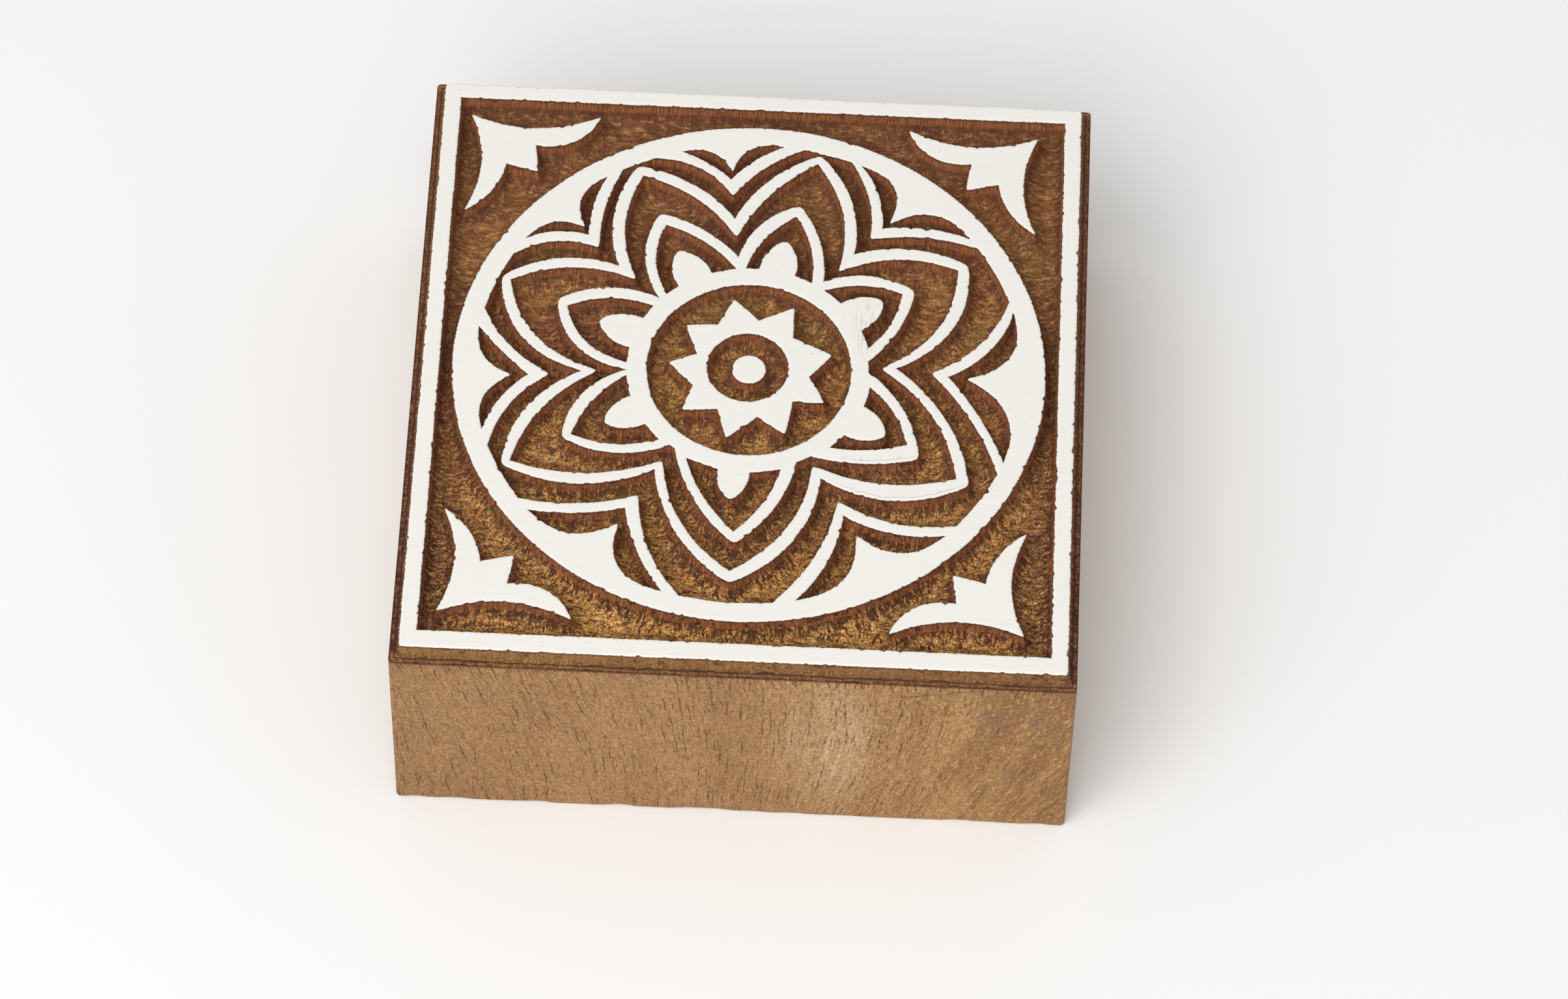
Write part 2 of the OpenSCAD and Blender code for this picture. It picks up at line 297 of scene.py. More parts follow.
def blockRim():  # the block's outline in plan, corners rounded, counter-clockwise
    radius = timber["cornerRadius"]
    halfX, halfY = blockHigh.x - radius, blockHigh.y - radius
    rim = []
    for quarter, (sx, sy) in enumerate([(1, 1), (-1, 1), (-1, -1), (1, -1)]):
        for turn in np.linspace(0, math.pi / 2, 5):
            angle = quarter * math.pi / 2 + turn
            rim.append([sx * halfX + radius * math.cos(angle), sy * halfY + radius * math.sin(angle)])
        length = 2 * (halfX if quarter % 2 == 0 else halfY)
        way = np.array([[-1, 0], [0, -1], [1, 0], [0, 1]][quarter])
        count = int(length / timber["rimStep"])
        rim += [list(np.array(rim[-1]) + way * length * k / count) for k in range(1, count)]
    return np.array(rim)


def isSliver(corners):  # a triangle with its corners in line, as there may be along a straight rim
    sides = corners - np.roll(corners, 1, 0)
    doubleArea = abs(sides[0, 0] * sides[1, 1] - sides[0, 1] * sides[1, 0])
    return doubleArea < timber["sliver"] * np.linalg.norm(sides, axis=1).max()


def groundHeight(points, gaps):  # carved top: walls beside the cut lines, floor or step beyond
    outside = (abs(points[:, 0]) > borderHigh.x) | (abs(points[:, 1]) > borderHigh.y)
    floor = timberTop + (floorZ - timberTop) * np.interp(gaps, timber["wallGaps"], timber["wallShares"])
    ledge = timberTop + (stepZ - timberTop) * np.interp(gaps, timber["wallGaps"], timber["ledgeShares"])
    return np.where(outside, ledge, floor)


def scatterWithin(spacing, clear, seed):  # points over the block's plan that keep clear of its sides
    points = scatter(blockLow, blockHigh, spacing, seed)
    return points[(abs(points) < [blockHigh.x - clear, blockHigh.y - clear]).all(1)]


def sideRing(rim, outward, z, inset):  # one row of points round the sides, hollowed and worn
    push = []
    for x, y in rim:
        hollow = noise.noise(Vector((x, y, z)) / timber["sideHollowLength"]) * 0.5 + 0.5
        chip = max(0.0, noise.noise(Vector((x, y, z * 0.4 + 40)) / timber["footWearLength"]))
        wear = timber["footWear"] * chip * max(0.0, 1 - z / timber["footWearHeight"])
        push.append(inset + timber["sideHollow"] * hollow + wear)
    return np.column_stack([rim - outward * np.array(push)[:, None], np.full(len(rim), z)])


def carveBlock():
    rim = blockRim()
    count = len(rim)
    outward = middleNormal(rim)
    innerRim = rim - outward * timber["arris"]
    fill = scatterWithin(timber["fillSpacing"], timber["rimClear"], timber["seed"])
    top, triangles = flatSheet(allLines, [innerRim], cutTree, timber["rows"], 1, fill, timber["fillClear"])
    hits = [cutTree.find_nearest((x, y, 0)) for x, y in top]
    gaps = np.array([hit[3] for hit in hits])
    ribbons = np.array([hit[2] for hit in hits])
    ribbonStart, ribbonAlong = alongRibbons(allLines)
    onRibbon = np.linalg.norm([hit[0][:2] for hit in hits] - ribbonStart[ribbons], axis=1)
    alongs = ribbonAlong[ribbons] + onRibbon
    verts = [np.column_stack([top, groundHeight(top, gaps)])]
    carved = [t for t, owners in triangles if owners and (max(t) >= count or not isSliver(top[t]))]

    rows = [(stepZ - timber["arrisDrop"], 0.0)]
    rows += [(z, 0.0) for z in np.linspace(stepZ - timber["sideTop"], timber["sideFoot"], timber["sideRows"])]
    rows += timber["foot"]
    verts += [sideRing(rim, outward, z, inset) for z, inset in rows]
    sides = []
    upper = list(range(count))  # the sheet keeps its first outline's points in order, and that is the rim
    for row in range(len(rows)):
        lower = [len(top) + row * count + i for i in range(count)]
        sides += [[upper[i], lower[i], lower[(i + 1) % count], upper[(i + 1) % count]] for i in range(count)]
        upper = lower

    inner = scatterWithin(timber["backSpacing"], timber["backClear"], timber["seed"] + 1)
    flat, triangles = triangulate(np.vstack([verts[-1][:, :2], inner]), [list(range(count))])
    verts.append(np.column_stack([flat[count:], np.zeros(len(flat) - count)]))
    back = [[upper[0] + i for i in reversed(t)] for t, owners in triangles if owners]

    mesh = bpy.data.meshes.new("carvedBlock")
    mesh.from_pydata((np.vstack(verts) * mm).tolist(), [], carved + sides + back)
    for label, values, elsewhere in (("gap", gaps, timber["offTop"]), ("along", alongs, 0.0)):
        whole = np.full(len(mesh.vertices), elsewhere, np.float32)
        whole[:len(top)] = values
        mesh.attributes.new(label, "FLOAT", "POINT").data.foreach_set("value", whole)
    for label, first, faces in (("carved", 0, carved), ("back", len(carved) + len(sides), back)):
        marked = np.zeros(len(mesh.polygons), bool)
        marked[first:first + len(faces)] = True
        mesh.attributes.new(label, "BOOLEAN", "FACE").data.foreach_set("value", marked)
    return addObject("carvedBlock", mesh)


carvedBlock = carveBlock()
print("block faces:", len(carvedBlock.data.polygons))


# Materials
def newMaterial(name):
    material = bpy.data.materials.new(name)
    material.use_nodes = True
    material.node_tree.nodes.clear()
    return material, material.node_tree


def millimetres(tree):  # object coordinates in mm, so that a texture scale is one over a size
    place = put(tree, "TexCoord").outputs["Object"]
    return put(tree, "VectorMath", {0: place, "Scale": 1 / mm}, operation="SCALE")


def reachOf(tree, place, mark):  # how far a point is from a mark, counted in the mark's own sizes
    away = put(tree, "VectorMath", [place, mark["place"]], operation="SUBTRACT")
    away = put(tree, "VectorMath", [away, mark["perMm"]], operation="MULTIPLY")
    return put(tree, "VectorMath", [away], operation="LENGTH")


def grainPattern(tree, place, perMm, detail, roughness=0.5):  # noise drawn out by its repeats per mm
    drawn = put(tree, "VectorMath", [place, perMm], operation="MULTIPLY")
    return put(tree, "TexNoise", {"Vector": drawn, "Scale": 1.0, "Detail": detail, "Roughness": roughness})


def inCells(tree, along, up, length, height, layer=0.0):  # a flat place counted in cells of that size
    across = put(tree, "Math", [along, length], operation="DIVIDE")
    rise = put(tree, "Math", [up, height], operation="DIVIDE")
    return put(tree, "CombineXYZ", [across, rise, layer])


def closeMaterial(tree, skin, height, finish):  # the bump and the shader that end each material
    bump = put(tree, "Bump", {"Strength": finish["bump"], "Distance": finish["depth"] * mm, "Height": height})
    shader = put(tree, "BsdfPrincipled", {"Base Color": skin, "Roughness": finish["roughness"],
                                          "Specular IOR Level": finish["specular"], "Normal": bump})
    put(tree, "OutputMaterial", {"Surface": shader})


carvedColours = {
    "gold": "#c48e4e",
    "glint": "#d4aa69",
    "brown": "#ab7241",
    "shade": "#80513a",
    "olive": "#93733f",
    "red": "#8c5540",
    "stroke": "#45221a",
    "wall": "#a86a43",
    "lip": "#4f301e",
    "rear": "#6f412c",
    "ledge": "#987142",
    "rim": "#40201a",
}
carvedFinish = {"roughness": 0.8, "specular": 0.25, "bump": 0.5, "depth": 0.1}
carvedRanges = {  # what is measured, from and to in mm, and the values there
    "crisp": ("Y", -30.0, 34.0, 1.0, 0.55),     # strokes and glints weaken to the rear
    "front": ("Y", -6.0, -30.0, 0.0, 0.8),      # more gold to the front
    "rear": ("Y", -6.0, 34.0, 0.0, 0.78),       # red brown to the rear
    "flank": ("outX", -7.5, -3.5, 0.0, 0.6),    # and along the border's left and right, partly the timber's darker colour and partly painted shade beside the border's inner wall
    "spread": ("gap", 0.25, 1.2, -0.05, 0.05),  # more gold away from the walls, darker at their foot, partly painted shade there
    "begins": ("gap", 0.06, 0.3, 0.2, 0.9),     # strokes start at the wall
    "fade": ("gap", 0.5, 2.2, 0.54, 0.42),      # and thin out away from it
    "foot": ("gap", 0.18, 0.3, 0.0, 1.0),       # burr starts at the wall's foot
    "footEnd": ("gap", 0.4, 0.85, 1.0, 0.0),
    "onLedge": ("out", -0.1, 0.05, 0.0, 0.9),   # the step outside the border
    "inFront": ("outY", 0.0, 0.2, 0.0, 1.0),    # its front and rear
    "beside": ("out", 0.25, 0.5, 0.0, 0.7),     # its left and right, which are darker
    "dull": ("X", -20.0, 34.0, 0.0, 0.4),       # and it darkens towards the right
}
carvedSizes = {"mottle": 1.5, "stain": 9.0, "sway": 0.9, "grit": 0.25, "wallFibre": 0.2}  # patterns, in mm
scratches = {"spacing": 0.36, "length": 1.2, "sway": 1.0, "bead": 0.5}  # fine strokes, and beads of burr
chatter = {"length": 1.2, "width": 0.34}  # short tears that the chisel leaves, all one way


def chiselledEndGrain():  # end grain cut with a chisel: golden floor, dark strokes and burr off each wall
    colours = carvedColours
    sizes = carvedSizes
    material, tree = newMaterial("hardwood end grain, chiselled")
    place = millimetres(tree)
    axes = put(tree, "SeparateXYZ", [place]).outputs
    gap = put(tree, "Attribute", attribute_name="gap").outputs["Fac"]
    along = put(tree, "Attribute", attribute_name="along").outputs["Fac"]
    measured = {"gap": gap, "X": axes["X"], "Y": axes["Y"]}
    for axis, edge in (("X", borderHigh.x), ("Y", borderHigh.y)):  # how far past the border's outer edge
        span = put(tree, "Math", [axes[axis]], operation="ABSOLUTE")
        measured["out" + axis] = put(tree, "Math", [span, edge], operation="SUBTRACT")
    out = put(tree, "Math", [measured["outX"], measured["outY"]], operation="MAXIMUM")
    measured["out"] = out
    at = {}
    for name, (what, *span) in carvedRanges.items():
        at[name] = put(tree, "MapRange", [measured[what], *span])

    mottle = put(tree, "TexNoise", {"Vector": place, "Scale": 1 / sizes["mottle"], "Detail": 4.0,
                                    "Roughness": 0.7})
    # the floor turns darker towards each wall's foot: partly the timber's tone, partly painted shade
    golden = put(tree, "Math", [mottle, at["spread"]], operation="ADD")
    floor = put(tree, "ValToRGB", [golden], stops=[
        (0.34, colours["shade"]), (0.47, colours["brown"]), (0.6, colours["gold"])])
    stain = put(tree, "TexNoise", {"Vector": place, "Scale": 1 / sizes["stain"], "Detail": 3.0})
    olive = put(tree, "MapRange", [stain, 0.52, 0.68, 0.0, 0.6])
    red = put(tree, "MapRange", [stain, 0.48, 0.34, 0.0, 0.6])
    # red brown to the rear, and beside the border's left and right inner walls, where it is partly painted
    # shade
    rear = put(tree, "Math", [at["rear"], at["flank"]], operation="MAXIMUM")
    for share, tone in ((olive, "olive"), (red, "red"), (at["front"], "gold"), (rear, "rear")):
        floor = put(tree, "Mix", {0: share, 6: floor, 7: paint(colours[tone])}, data_type="RGBA")

    down = put(tree, "Math", [axes["Z"], 0.3], operation="MULTIPLY")
    across = put(tree, "Math", [along, sizes["wallFibre"]], operation="DIVIDE")
    fibres = put(tree, "CombineXYZ", [across, down])
    fibres = put(tree, "TexNoise", {"Vector": fibres, "Scale": 1.0, "Detail": 3.0}, noise_dimensions="2D")
    tone = put(tree, "MapRange", [fibres, 0.3, 0.7, 0.45, 1.3])
    wall = put(tree, "VectorMath", {0: paint(colours["wall"])[:3], "Scale": tone}, operation="SCALE")
    onWall = put(tree, "MapRange", [gap, 0.1, 0.36, 1.0, 0.0], interpolation_type="SMOOTHSTEP")
    skin = put(tree, "Mix", {0: onWall, 6: floor, 7: wall}, data_type="RGBA")

    sway = put(tree, "TexNoise", {"Vector": place, "Scale": 1 / sizes["sway"], "Detail": 2.0})
    sway = put(tree, "Math", [sway, scratches["sway"], along], operation="MULTIPLY_ADD")
    comb = inCells(tree, sway, gap, scratches["spacing"], scratches["length"])
    comb = put(tree, "TexNoise", {"Vector": comb, "Scale": 1.0, "Detail": 2.0, "Roughness": 0.6},
               noise_dimensions="2D")
    struck = put(tree, "Math", [at["fade"], comb], operation="SUBTRACT")
    struck = put(tree, "MapRange", [struck, 0.0, 0.07, 0.0, 1.0])
    struck = put(tree, "Math", [struck, at["begins"]], operation="MULTIPLY")
    tears = grainPattern(tree, place, (1 / chatter["length"], 1 / chatter["width"], 1.0), 4.0, 0.7)
    torn = put(tree, "MapRange", [tears, 0.47, 0.38, 0.0, 0.9])
    struck = put(tree, "Math", [struck, torn], operation="MAXIMUM")
    glint = put(tree, "MapRange", [tears, 0.53, 0.63, 0.0, 0.85])
    onFloor = put(tree, "MapRange", [gap, 0.25, 0.6, 0.0, at["crisp"]])
    glint = put(tree, "Math", [glint, onFloor], operation="MULTIPLY")
    skin = put(tree, "Mix", {0: glint, 6: skin, 7: paint(colours["glint"])}, data_type="RGBA")

    burr = inCells(tree, along, gap, scratches["bead"], scratches["bead"], 5.0)
    burr = put(tree, "TexNoise", {"Vector": burr, "Scale": 1.0, "Detail": 2.0})
    burr = put(tree, "MapRange", [burr, 0.56, 0.44, 0.0, 0.9])
    burr = put(tree, "Math", [burr, at["foot"]], operation="MULTIPLY")
    burr = put(tree, "Math", [burr, at["footEnd"]], operation="MULTIPLY")
    struck = put(tree, "Math", [struck, burr], operation="MAXIMUM")
    struck = put(tree, "Math", [struck, at["crisp"]], operation="MULTIPLY")

    beside = put(tree, "MapRange", {0: at["inFront"], 3: at["beside"], 4: 0.0})
    dull = put(tree, "Math", [at["dull"], beside], operation="MAXIMUM")
    ledge = put(tree, "Mix", {0: dull, 6: paint(colours["ledge"]), 7: paint(colours["shade"])},
                data_type="RGBA")
    skin = put(tree, "Mix", {0: at["onLedge"], 6: skin, 7: ledge}, data_type="RGBA")
    offLedge = put(tree, "MapRange", {0: at["inFront"], 3: 1.0, 4: 0.5})
    struck = put(tree, "Math", [struck, offLedge], operation="MULTIPLY")
    underCoat = put(tree, "MapRange", [axes["Z"], timberTop - 0.3, timberTop, 0.0, 0.8])
    waver = grainPattern(tree, place, (0.35, 1.4, 1.4), 4.0)
    layer = put(tree, "Math", [waver, 0.6, out], operation="MULTIPLY_ADD")
    layer = put(tree, "MapRange", [layer, 0.3, 1.5])
    seams = put(tree, "ValToRGB", [layer], stops=[
        (0.36, "#000000"), (0.44, "#f0f0f0"), (0.52, "#f0f0f0"), (0.6, "#606060"), (0.82, "#707070"),
        (0.92, "#ffffff")])
    for share, tone in ((struck, "stroke"), (underCoat, "lip"), (seams, "rim")):
        skin = put(tree, "Mix", {0: share, 6: skin, 7: paint(colours[tone])}, data_type="RGBA")

    grain = put(tree, "TexNoise", {"Vector": place, "Scale": 1 / sizes["grit"], "Detail": 2.0,
                                   "Roughness": 0.8})
    darkest = put(tree, "MapRange", {0: at["crisp"], 1: 0.55, 3: 0.65, 4: -0.25})
    lightest = put(tree, "MapRange", {0: at["crisp"], 1: 0.55, 3: 1.35, 4: 2.15})
    speckle = put(tree, "MapRange", [grain, 0.28, 0.72, darkest, lightest])
    speckle = put(tree, "Math", [speckle, 0.3], operation="MAXIMUM")
    calm = put(tree, "Math", [at["onLedge"], 0.4], operation="MULTIPLY")
    smooth = put(tree, "Math", [onWall, 0.6], operation="MULTIPLY")
    calm = put(tree, "Math", [calm, smooth], operation="MAXIMUM")
    speckle = put(tree, "Mix", {0: calm, 2: speckle, 3: 1.0})
    skin = put(tree, "VectorMath", {0: skin, "Scale": speckle}, operation="SCALE")
    height = put(tree, "Math", [grain, struck], operation="SUBTRACT")
    closeMaterial(tree, skin, height, carvedFinish)
    return material


sawnColours = {
    "dark": "#926b45",
    "tan": "#a37a4e",
    "light": "#b18a5d",
    "pale": "#ccb08a",
    "deep": "#8a6038",
    "gold": "#b88f58",
    "fleck": "#c7a069",
    "smudge": "#7d6156",
    "pore": "#5b3d22",
    "halo": "#7f5a33",
    "edge": "#56291a",
}
sawnFinish = {"roughness": 0.7, "specular": 0.3, "bump": 0.4, "depth": 0.1}
sawnPatterns = {  # what each noise follows, its repeats per mm in X, Y and Z, its detail and its roughness
    "threads": ("waver", (3.0, 3.0, 0.9), 4.0, 0.7),
    "bands": ("fibre", (0.14, 0.14, 0.06), 3.0, 0.5),
    "kerf": ("place", (0.08, 0.08, 1.8), 3.0, 0.5),
    "growth": ("waver", (0.5, 0.5, 0.06), 4.0, 0.65),
    "flecks": ("waver", (2.4, 2.4, 1.3), 3.0, 0.6),
    "cloud": ("fibre", (0.7, 0.7, 0.09), 4.0, 0.5),
    "crumb": ("waver", (4.5, 4.5, 2.6), 2.0, 0.5),
}
sawnRanges = {  # places along the front, from and to in mm, and the values there
    "lean": (-18.0, 8.0, 0.29, 0.02),      # slant of the fibres
    "right": (20.0, 36.0, 0.0, -0.25),     # which turns over at the right
    "bend": (0.0, 26.0, -0.0035, -0.008),  # change of slant for each mm down
    "sparse": (14.0, 26.0, 0.0, 0.3),      # fewer pores to the right
    "grey": (-14.0, -38.0, 0.0, 0.5),      # duller to the left
    "deep": (12.0, 26.0, 0.0, 1.0),        # warmer, with growth bands, to the right
    "farRight": (25.0, 34.0, 0.0, 0.7),    # and darker at its end
    "flecked": (-2.0, 16.0, 0.35, 1.0),
}
poreKinds = [  # cell sizes, half sizes and tone, drawn a little wider than real pores so that they show
    {"across": 1.4, "along": 5.0, "width": 0.075, "length": 1.9, "tone": 1.0, "chance": 0.52},
    {"across": 0.8, "along": 2.2, "width": 0.065, "length": 0.5, "tone": 0.8, "chance": 0.56},
]
poreSizes = {"breaks": 0.4, "clumps": 6.0}  # where a pore is interrupted, and where pores crowd, in mm
edgeTicks = {"spacing": 0.9, "width": 0.09, "length": 1.7}  # pores that the step's cut laid open, in mm
frontY = blockLow.y
frontMarks = {  # places on the front face, in mm
    "pale": {"place": (10.6, frontY, 16.0), "perMm": (0.17, 0.17, 0.06)},
    "smudges": [(34.0, frontY, 22.5), (32.0, frontY, 11.5), (28.8, frontY, 22.3)],
    "crack": ((19.7, frontY, 27.0), (27.8, frontY, 29.0)),
    "behind": 3.4,        # farther back than this the grain drifts away from the front's
    "edge": (0.45, 0.2),  # stain along the step's edge, this far under it
}


def sawnLongGrain():  # hardwood sawn along the grain: even tan, open pores as short dark dashes on the fibres
    colours = sawnColours
    material, tree = newMaterial("hardwood long grain, sawn")
    place = millimetres(tree)
    axes = put(tree, "SeparateXYZ", [place]).outputs
    below = put(tree, "Math", [stepZ, axes["Z"]], operation="SUBTRACT")
    behind = put(tree, "Math", [axes["Y"], frontY + frontMarks["behind"]], operation="SUBTRACT")
    behind = put(tree, "Math", [behind, 0.0], operation="MAXIMUM")
    face = put(tree, "Math", [behind, -0.5, axes["X"]], operation="MULTIPLY_ADD")  # X on the front
    at = {name: put(tree, "MapRange", [face, *span]) for name, span in sawnRanges.items()}
    lean = put(tree, "Math", [at["lean"], at["right"]], operation="ADD")
    lean = put(tree, "Math", [below, at["bend"], lean], operation="MULTIPLY_ADD")
    shift = put(tree, "Math", [lean, below], operation="MULTIPLY")
    straight = put(tree, "Math", [axes["X"], shift], operation="SUBTRACT")
    fibre = put(tree, "CombineXYZ", [straight, axes["Y"], axes["Z"]])  # place with the fibres upright
    waver = grainPattern(tree, fibre, (0.55, 0.55, 0.3), 2.0).outputs["Color"]
    waver = put(tree, "VectorMath", [waver, (0.8, 0.8, 0.5), fibre], operation="MULTIPLY_ADD")
    follows = {"place": place, "fibre": fibre, "waver": waver}
    pattern = {}
    for name, (base, *settings) in sawnPatterns.items():
        pattern[name] = grainPattern(tree, follows[base], *settings)

    breaks = put(tree, "TexNoise", {"Vector": place, "Scale": 1 / poreSizes["breaks"], "Detail": 1.0})
    breaks = put(tree, "MapRange", [breaks, 0.42, 0.54, 0.1, 1.0])
    clumps = put(tree, "TexNoise", {"Vector": place, "Scale": 1 / poreSizes["clumps"], "Detail": 2.0})
    clumps = put(tree, "MapRange", [clumps, 0.36, 0.62, 0.35, -0.35])
    clumps = put(tree, "Math", [clumps, at["sparse"]], operation="ADD")
    parts = put(tree, "SeparateXYZ", [waver]).outputs
    around = put(tree, "Math", [parts["X"], parts["Y"]], operation="ADD")  # place round the sides
    pore, halo = 0.0, 0.0
    for kind in poreKinds:
        cells = inCells(tree, around, parts["Z"], kind["across"], kind["along"])
        spots = put(tree, "TexVoronoi", {"Vector": cells, "Scale": 1.0}, voronoi_dimensions="2D").outputs
        offset = put(tree, "VectorMath", [cells, spots["Position"]], operation="SUBTRACT")
        slim = (kind["across"] / kind["width"], kind["along"] / kind["length"], 0.0)
        offset = put(tree, "VectorMath", [offset, slim], operation="MULTIPLY")
        reach = put(tree, "VectorMath", [offset], operation="LENGTH")
        chance = put(tree, "SeparateColor", [spots["Color"]])
        chance = put(tree, "Math", [chance, clumps], operation="SUBTRACT")
        chance = put(tree, "Math", [chance, kind["chance"]], operation="GREATER_THAN")
        dash = put(tree, "MapRange", [reach, 0.6, 1.2, kind["tone"], 0.0])
        dash = put(tree, "Math", [dash, chance], operation="MULTIPLY")
        pore = put(tree, "Math", [pore, dash], operation="MAXIMUM")
        rim = put(tree, "MapRange", [reach, 0.9, 2.6, 0.4, 0.0])
        rim = put(tree, "Math", [rim, chance], operation="MULTIPLY")
        halo = put(tree, "Math", [halo, rim], operation="MAXIMUM")
    pore = put(tree, "Math", [pore, breaks], operation="MULTIPLY")
    cells = put(tree, "Math", [around, edgeTicks["spacing"]], operation="DIVIDE")
    spots = put(tree, "TexVoronoi", {"W": cells, "Scale": 1.0}, voronoi_dimensions="1D").outputs
    thick = edgeTicks["width"] / edgeTicks["spacing"]
    tick = put(tree, "MapRange", [spots["Distance"], 0.5 * thick, thick, 0.9, 0.0])
    length = put(tree, "SeparateColor", [spots["Color"]])
    length = put(tree, "Math", [length, edgeTicks["length"]], operation="MULTIPLY")
    within = put(tree, "Math", [below, length], operation="LESS_THAN")
    tick = put(tree, "Math", [tick, within], operation="MULTIPLY")
    pore = put(tree, "Math", [pore, tick], operation="MAXIMUM")

    mixed = put(tree, "Mix", {0: 0.4, 2: pattern["threads"], 3: pattern["bands"]})
    mixed = put(tree, "Mix", {0: 0.15, 2: mixed, 3: pattern["kerf"]})
    skin = put(tree, "ValToRGB", [mixed], stops=[
        (0.36, colours["dark"]), (0.5, colours["tan"]), (0.64, colours["light"])])
    warm = put(tree, "Math", [at["deep"], 0.35], operation="MULTIPLY")
    layers = [(at["grey"], "dark"), (warm, "gold"), (at["farRight"], "deep")]
    for name, where, low, high, most, tone in (
            ("growth", "deep", 0.54, 0.4, 0.7, "deep"), ("growth", "deep", 0.53, 0.66, 0.4, "gold"),
            ("flecks", "flecked", 0.56, 0.66, 0.65, "fleck"), ("flecks", "flecked", 0.44, 0.34, 0.7, "deep")):
        share = put(tree, "MapRange", [pattern[name], low, high, 0.0, most])
        layers.append((put(tree, "Math", [share, at[where]], operation="MULTIPLY"), tone))
    cloud = put(tree, "MapRange", [pattern["cloud"], 0.36, 0.64, 0.2, 1.4])
    reach = reachOf(tree, place, frontMarks["pale"])
    marks = [(put(tree, "MapRange", [reach, 0.1, 1.0, 0.7, 0.0]), "pale")]
    for spot in frontMarks["smudges"]:
        away = put(tree, "VectorMath", [place, spot], operation="DISTANCE")
        marks.append((put(tree, "MapRange", [away, 0.3, 3.2, 0.36, 0.0]), "smudge"))
    for mark, tone in marks:
        layers.append((put(tree, "Math", [mark, cloud], operation="MULTIPLY", use_clamp=True), tone))
    for share, tone in layers:
        skin = put(tree, "Mix", {0: share, 6: skin, 7: paint(colours[tone])}, data_type="RGBA")
    crumb = put(tree, "MapRange", [pattern["crumb"], 0.3, 0.7, 0.6, 1.4])
    skin = put(tree, "VectorMath", {0: skin, "Scale": crumb}, operation="SCALE")

    start, end = (Vector(p) for p in frontMarks["crack"])
    rise = (end.z - start.z) / (end.x - start.x)
    offLine = put(tree, "Math", [axes["X"], -rise, axes["Z"]], operation="MULTIPLY_ADD")
    offLine = put(tree, "Math", [offLine, start.z - rise * start.x], operation="SUBTRACT")
    offLine = put(tree, "Math", [offLine], operation="ABSOLUTE")
    crack = put(tree, "MapRange", [offLine, 0.03, 0.1, 0.85, 0.0])
    middle = put(tree, "VectorMath", [place, (start + end) / 2], operation="DISTANCE")
    within = put(tree, "Math", [middle, (end - start).length / 2], operation="LESS_THAN")
    crack = put(tree, "Math", [crack, within], operation="MULTIPLY")
    edgeLow, edgeHigh = (stepZ - depth for depth in frontMarks["edge"])
    edge = put(tree, "MapRange", [axes["Z"], edgeLow, edgeHigh, 0.0, 0.8])
    for share, tone in ((halo, "halo"), (pore, "pore"), (crack, "pore"), (edge, "edge")):
        skin = put(tree, "Mix", {0: share, 6: skin, 7: paint(colours[tone])}, data_type="RGBA")
    height = put(tree, "Math", [pattern["threads"], pore], operation="SUBTRACT")
    height = put(tree, "Math", [height, crack], operation="SUBTRACT")
    closeMaterial(tree, skin, height, sawnFinish)
    return material


backColours = {
    "late": "#8a633e",
    "early": "#a27a50",
    "pore": "#4f351f",
    "kerf": "#6e4a2d",
}
backFinish = {"roughness": 0.75, "specular": 0.3, "bump": 0.3, "depth": 0.1}
backMarks = {"pith": (-70.0, -110.0, 0.0), "ring": 2.4, "waver": 12.0, "pore": 0.75, "kerf": 1.1}  # in mm


def sawnEndGrain():  # end grain off the saw: growth rings as soft bands, pores as fine dots, faint kerf lines
    colours = backColours
    material, tree = newMaterial("hardwood end grain, sawn")
    place = millimetres(tree)
    waver = put(tree, "TexNoise", {"Vector": place, "Scale": 1 / backMarks["waver"], "Detail": 3.0})
    bent = put(tree, "VectorMath", [waver.outputs["Color"], (4.0, 4.0, 0.0), place], operation="MULTIPLY_ADD")
    radius = put(tree, "VectorMath", [bent, backMarks["pith"]], operation="DISTANCE")
    growth = put(tree, "TexNoise", {"W": radius, "Scale": 1 / backMarks["ring"], "Detail": 3.0},
                 noise_dimensions="1D")
    skin = put(tree, "ValToRGB", [growth], stops=[(0.3, colours["late"]), (0.7, colours["early"])])
    kerf = grainPattern(tree, place, (0.04, 1 / backMarks["kerf"], 1.0), 3.0)
    scored = put(tree, "MapRange", [kerf, 0.55, 0.7, 0.0, 0.5])
    dots = put(tree, "TexVoronoi", {"Vector": place, "Scale": 1 / backMarks["pore"]},
               voronoi_dimensions="2D").outputs["Distance"]
    pore = put(tree, "MapRange", [dots, 0.1, 0.2, 0.85, 0.0])
    for share, tone in ((scored, "kerf"), (pore, "pore")):
        skin = put(tree, "Mix", {0: share, 6: skin, 7: paint(colours[tone])}, data_type="RGBA")
    height = put(tree, "Math", [kerf, pore], operation="SUBTRACT")
    closeMaterial(tree, skin, height, backFinish)
    return material


coatColours = {
    "white": "#f2efe9",
    "stain": "#8f6a48",
    "streak": "#e6e1d8",
    "scuff": "#c9c4bb",
    "ridge": "#bdb7ad",
    "pinhole": "#927a5c",
}
coatFinish = {"roughness": 0.6, "specular": 0.25, "bump": 0.1, "depth": 0.05}
coatMarks = {  # places on the coat and sizes, in mm
    "scuffs": {"place": (13.2, 6.8, borderHigh.z), "perMm": (0.5, 0.2, 0.0)},
    "ridges": {"place": (17.5, -13.4, borderHigh.z), "perMm": (0.13, 0.25, 0.0)},
    "crest": 0.17,         # how far a ridge of paint stands in from the edge
    "waver": 0.7,          # and the size of its waver
    "pinholes": 3.5,       # spacing
    "edge": (0.06, 0.16),  # height over the timber up to which its stain shows
}


